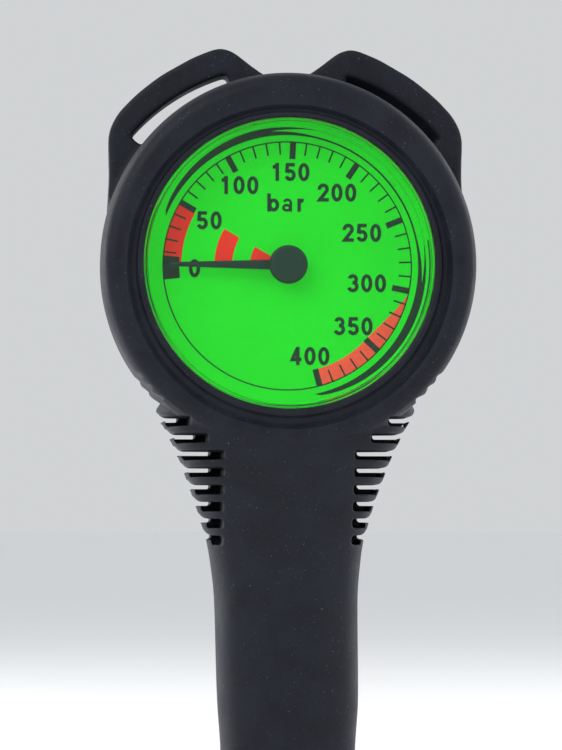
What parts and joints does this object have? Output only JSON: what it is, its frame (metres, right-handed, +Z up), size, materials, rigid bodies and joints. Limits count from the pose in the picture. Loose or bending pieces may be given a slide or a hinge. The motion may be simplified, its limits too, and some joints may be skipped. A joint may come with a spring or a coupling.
{
  "type": "air pack contents gauge",
  "caption": "Round Bourdon-tube pressure gauge with a luminous dial, in a rubber boot with slotted strap lugs, ribbed strain-relief fins and a hose sleeve.",
  "frame": {"origin": "centre of the stem's inlet face, where the hose fitting screws on", "axes": "+Z up the stem towards the dial's centre, dial facing -Y, +X to the reader's right"},
  "size_m": [0.0722, 0.0354, 0.1528],
  "materials": {
    "boot_rubber": "matte black moulded rubber",
    "seal_rubber": "smooth black nitrile",
    "clear_plastic": "clear polycarbonate",
    "luminous_green": "luminous green print",
    "pointer_black": "matte dark paint",
    "brass": "machined",
    "steel": "turned"
  },
  "bodies": {
    "gauge": {"case_screw_left": "steel", "case_screw_right": "steel", "dial_plate": "luminous_green", "dial_spacer_ring": "luminous_green", "gauge_case": "brass", "hairspring": "brass", "hairspring_stud": "brass", "lens": "clear_plastic", "lens_o_ring": "seal_rubber", "lens_retaining_ring": "steel", "movement_back_plate": "brass", "movement_front_plate": "brass", "pillar_1": "brass", "pillar_2": "brass", "pillar_3": "brass", "pillar_screw_1": "steel", "pillar_screw_2": "steel", "pillar_screw_3": "steel", "rubber_boot": "boot_rubber", "socket_screw_left": "steel", "socket_screw_right": "steel", "socket_stem": "brass", "stem_gasket": "seal_rubber"},
    "pointer": {"pointer": "pointer_black", "pointer_cap": "pointer_black", "pointer_bushing": "brass", "pinion_arbor": "brass", "hairspring_collet": "brass"},
    "sector": {"sector_gear": "brass", "sector_arbor": "steel", "tail_pin": "steel"},
    "link": {"connecting_link": "brass"},
    "tube": {"bourdon_tube": "brass", "tube_end_piece": "brass", "tip_pin": "steel"},
    "swivel": {"swivel_spool": "steel", "spool_o_ring_upper": "seal_rubber", "spool_o_ring_lower": "seal_rubber"},
    "relief": {"relief_plug": "seal_rubber"}
  },
  "joints": [
    {"name": "sector_hinge", "type": "hinge", "parent": "gauge", "child": "sector", "pos_m": [0.01234, -0.0034, 0.03887], "axis": [0, -1, 0], "range_deg": [0, 30], "stiffness_Nm_per_rad": 0.002, "springref_deg": -11.46},
    {"name": "pointer_hinge", "type": "hinge", "parent": "gauge", "child": "pointer", "pos_m": [0, -0.0115, 0.046], "axis": [0, 1, 0], "range_deg": [0, 255]},
    {"name": "tube_flex", "type": "hinge", "parent": "gauge", "child": "tube", "pos_m": [-0.00788, 0.0045, 0.026], "axis": [0, -1, 0], "range_deg": [0, 5.4]},
    {"name": "link_hinge", "type": "hinge", "parent": "tube", "child": "link", "pos_m": [0.01704, -0.0022, 0.0334], "axis": [0, -1, 0], "range_deg": [-15, 0]},
    {"name": "swivel_turn", "type": "hinge", "parent": "gauge", "child": "swivel", "pos_m": [0, 0, 0], "axis": [0, 0, 1], "continuous": true},
    {"name": "relief_slide", "type": "slide", "parent": "gauge", "child": "relief", "axis": [0, 1, 0], "range_m": [0, 0.002]}
  ],
  "couplings": [
    {"joint": "pointer_hinge", "follows": "sector_hinge", "ratio": 8.5},
    {"joint": "tube_flex", "follows": "sector_hinge", "ratio": 0.18},
    {"joint": "link_hinge", "follows": "sector_hinge", "ratio": -0.5}
  ]
}
